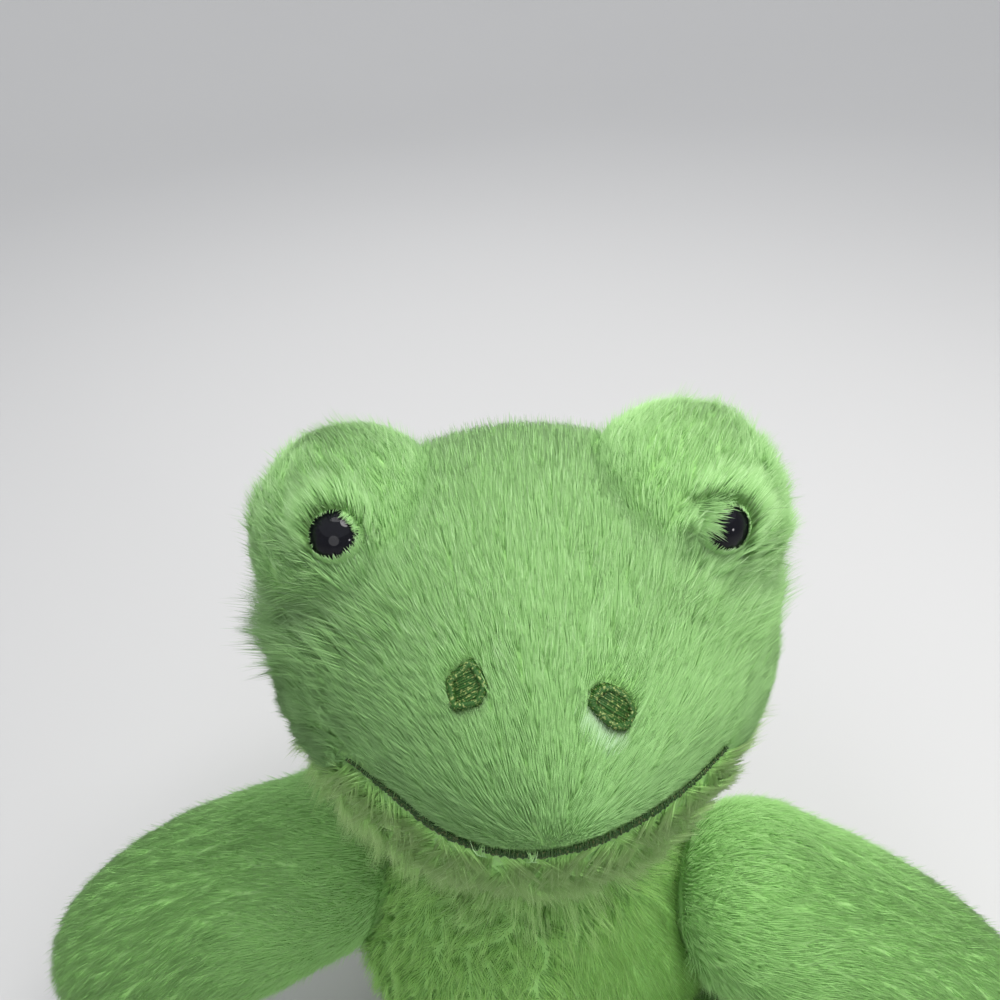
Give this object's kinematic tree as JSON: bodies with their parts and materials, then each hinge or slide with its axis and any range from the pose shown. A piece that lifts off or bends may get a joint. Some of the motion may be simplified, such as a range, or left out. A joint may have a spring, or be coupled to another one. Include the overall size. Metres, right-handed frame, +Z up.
{
  "type": "plush frog",
  "caption": "A small light-green long-pile plush frog that sits with its arms spread, with black eyes on two mounds, embroidered nostrils and an embroidered smile.",
  "frame": {"origin": "middle of the flat sitting face under the torso", "axes": "+Z up, the frog faces -Y, +X is the picture's right"},
  "size_m": [0.2264, 0.1444, 0.1748],
  "materials": {
    "fur": "long light-green pile",
    "belly_fur": "long yellower green pile",
    "stitching": "dark green satin stitch",
    "eye": "glossy black",
    "washer": "plain white",
    "fill": "loose white polyester fibre",
    "pouch": "thin plain weave",
    "pellets": "small grey pellets"
  },
  "bodies": {
    "torso": {"torso_skin": "belly_fur", "torso_stuffing": "fill", "pellet_pouch": "pouch", "pellet_fill": "pellets"},
    "head": {"head_skin": "fur", "head_stuffing": "fill", "eye_mound_left_skin": "fur", "eye_mound_left_stuffing": "fill", "eye_mound_right_skin": "fur", "eye_mound_right_stuffing": "fill", "eye_left": "eye", "eye_right": "eye", "eye_washer_left": "washer", "eye_washer_right": "washer", "nostril_left": "stitching", "nostril_right": "stitching", "mouth_stitching": "stitching"},
    "arm_left": {"arm_left_skin": "fur", "arm_left_stuffing": "fill"},
    "arm_right": {"arm_right_skin": "fur", "arm_right_stuffing": "fill"},
    "leg_left": {"leg_left_skin": "fur", "leg_left_stuffing": "fill"},
    "leg_right": {"leg_right_skin": "fur", "leg_right_stuffing": "fill"}
  },
  "joints": [
    {"name": "neck_nod", "type": "hinge", "parent": "torso", "child": "head", "pos_m": [0, 0.002, 0.08], "axis": [1, 0, 0], "range_deg": [-15, 12], "stiffness_Nm_per_rad": 0.15},
    {"name": "shoulder_left", "type": "hinge", "parent": "torso", "child": "arm_left", "pos_m": [-0.05286, -0.00309, 0.0605], "axis": [0, 0, 1], "range_deg": [-18, 18], "stiffness_Nm_per_rad": 0.02},
    {"name": "shoulder_right", "type": "hinge", "parent": "torso", "child": "arm_right", "pos_m": [0.04933, -0.0192, 0.0605], "axis": [0, 0, 1], "range_deg": [-18, 18], "stiffness_Nm_per_rad": 0.02},
    {"name": "hip_left", "type": "hinge", "parent": "torso", "child": "leg_left", "pos_m": [-0.03053, -0.04139, 0.0195], "axis": [-1, 0, 0], "range_deg": [0, 25], "stiffness_Nm_per_rad": 0.05},
    {"name": "hip_right", "type": "hinge", "parent": "torso", "child": "leg_right", "pos_m": [0.03053, -0.04139, 0.0195], "axis": [-1, 0, 0], "range_deg": [0, 25], "stiffness_Nm_per_rad": 0.05}
  ]
}
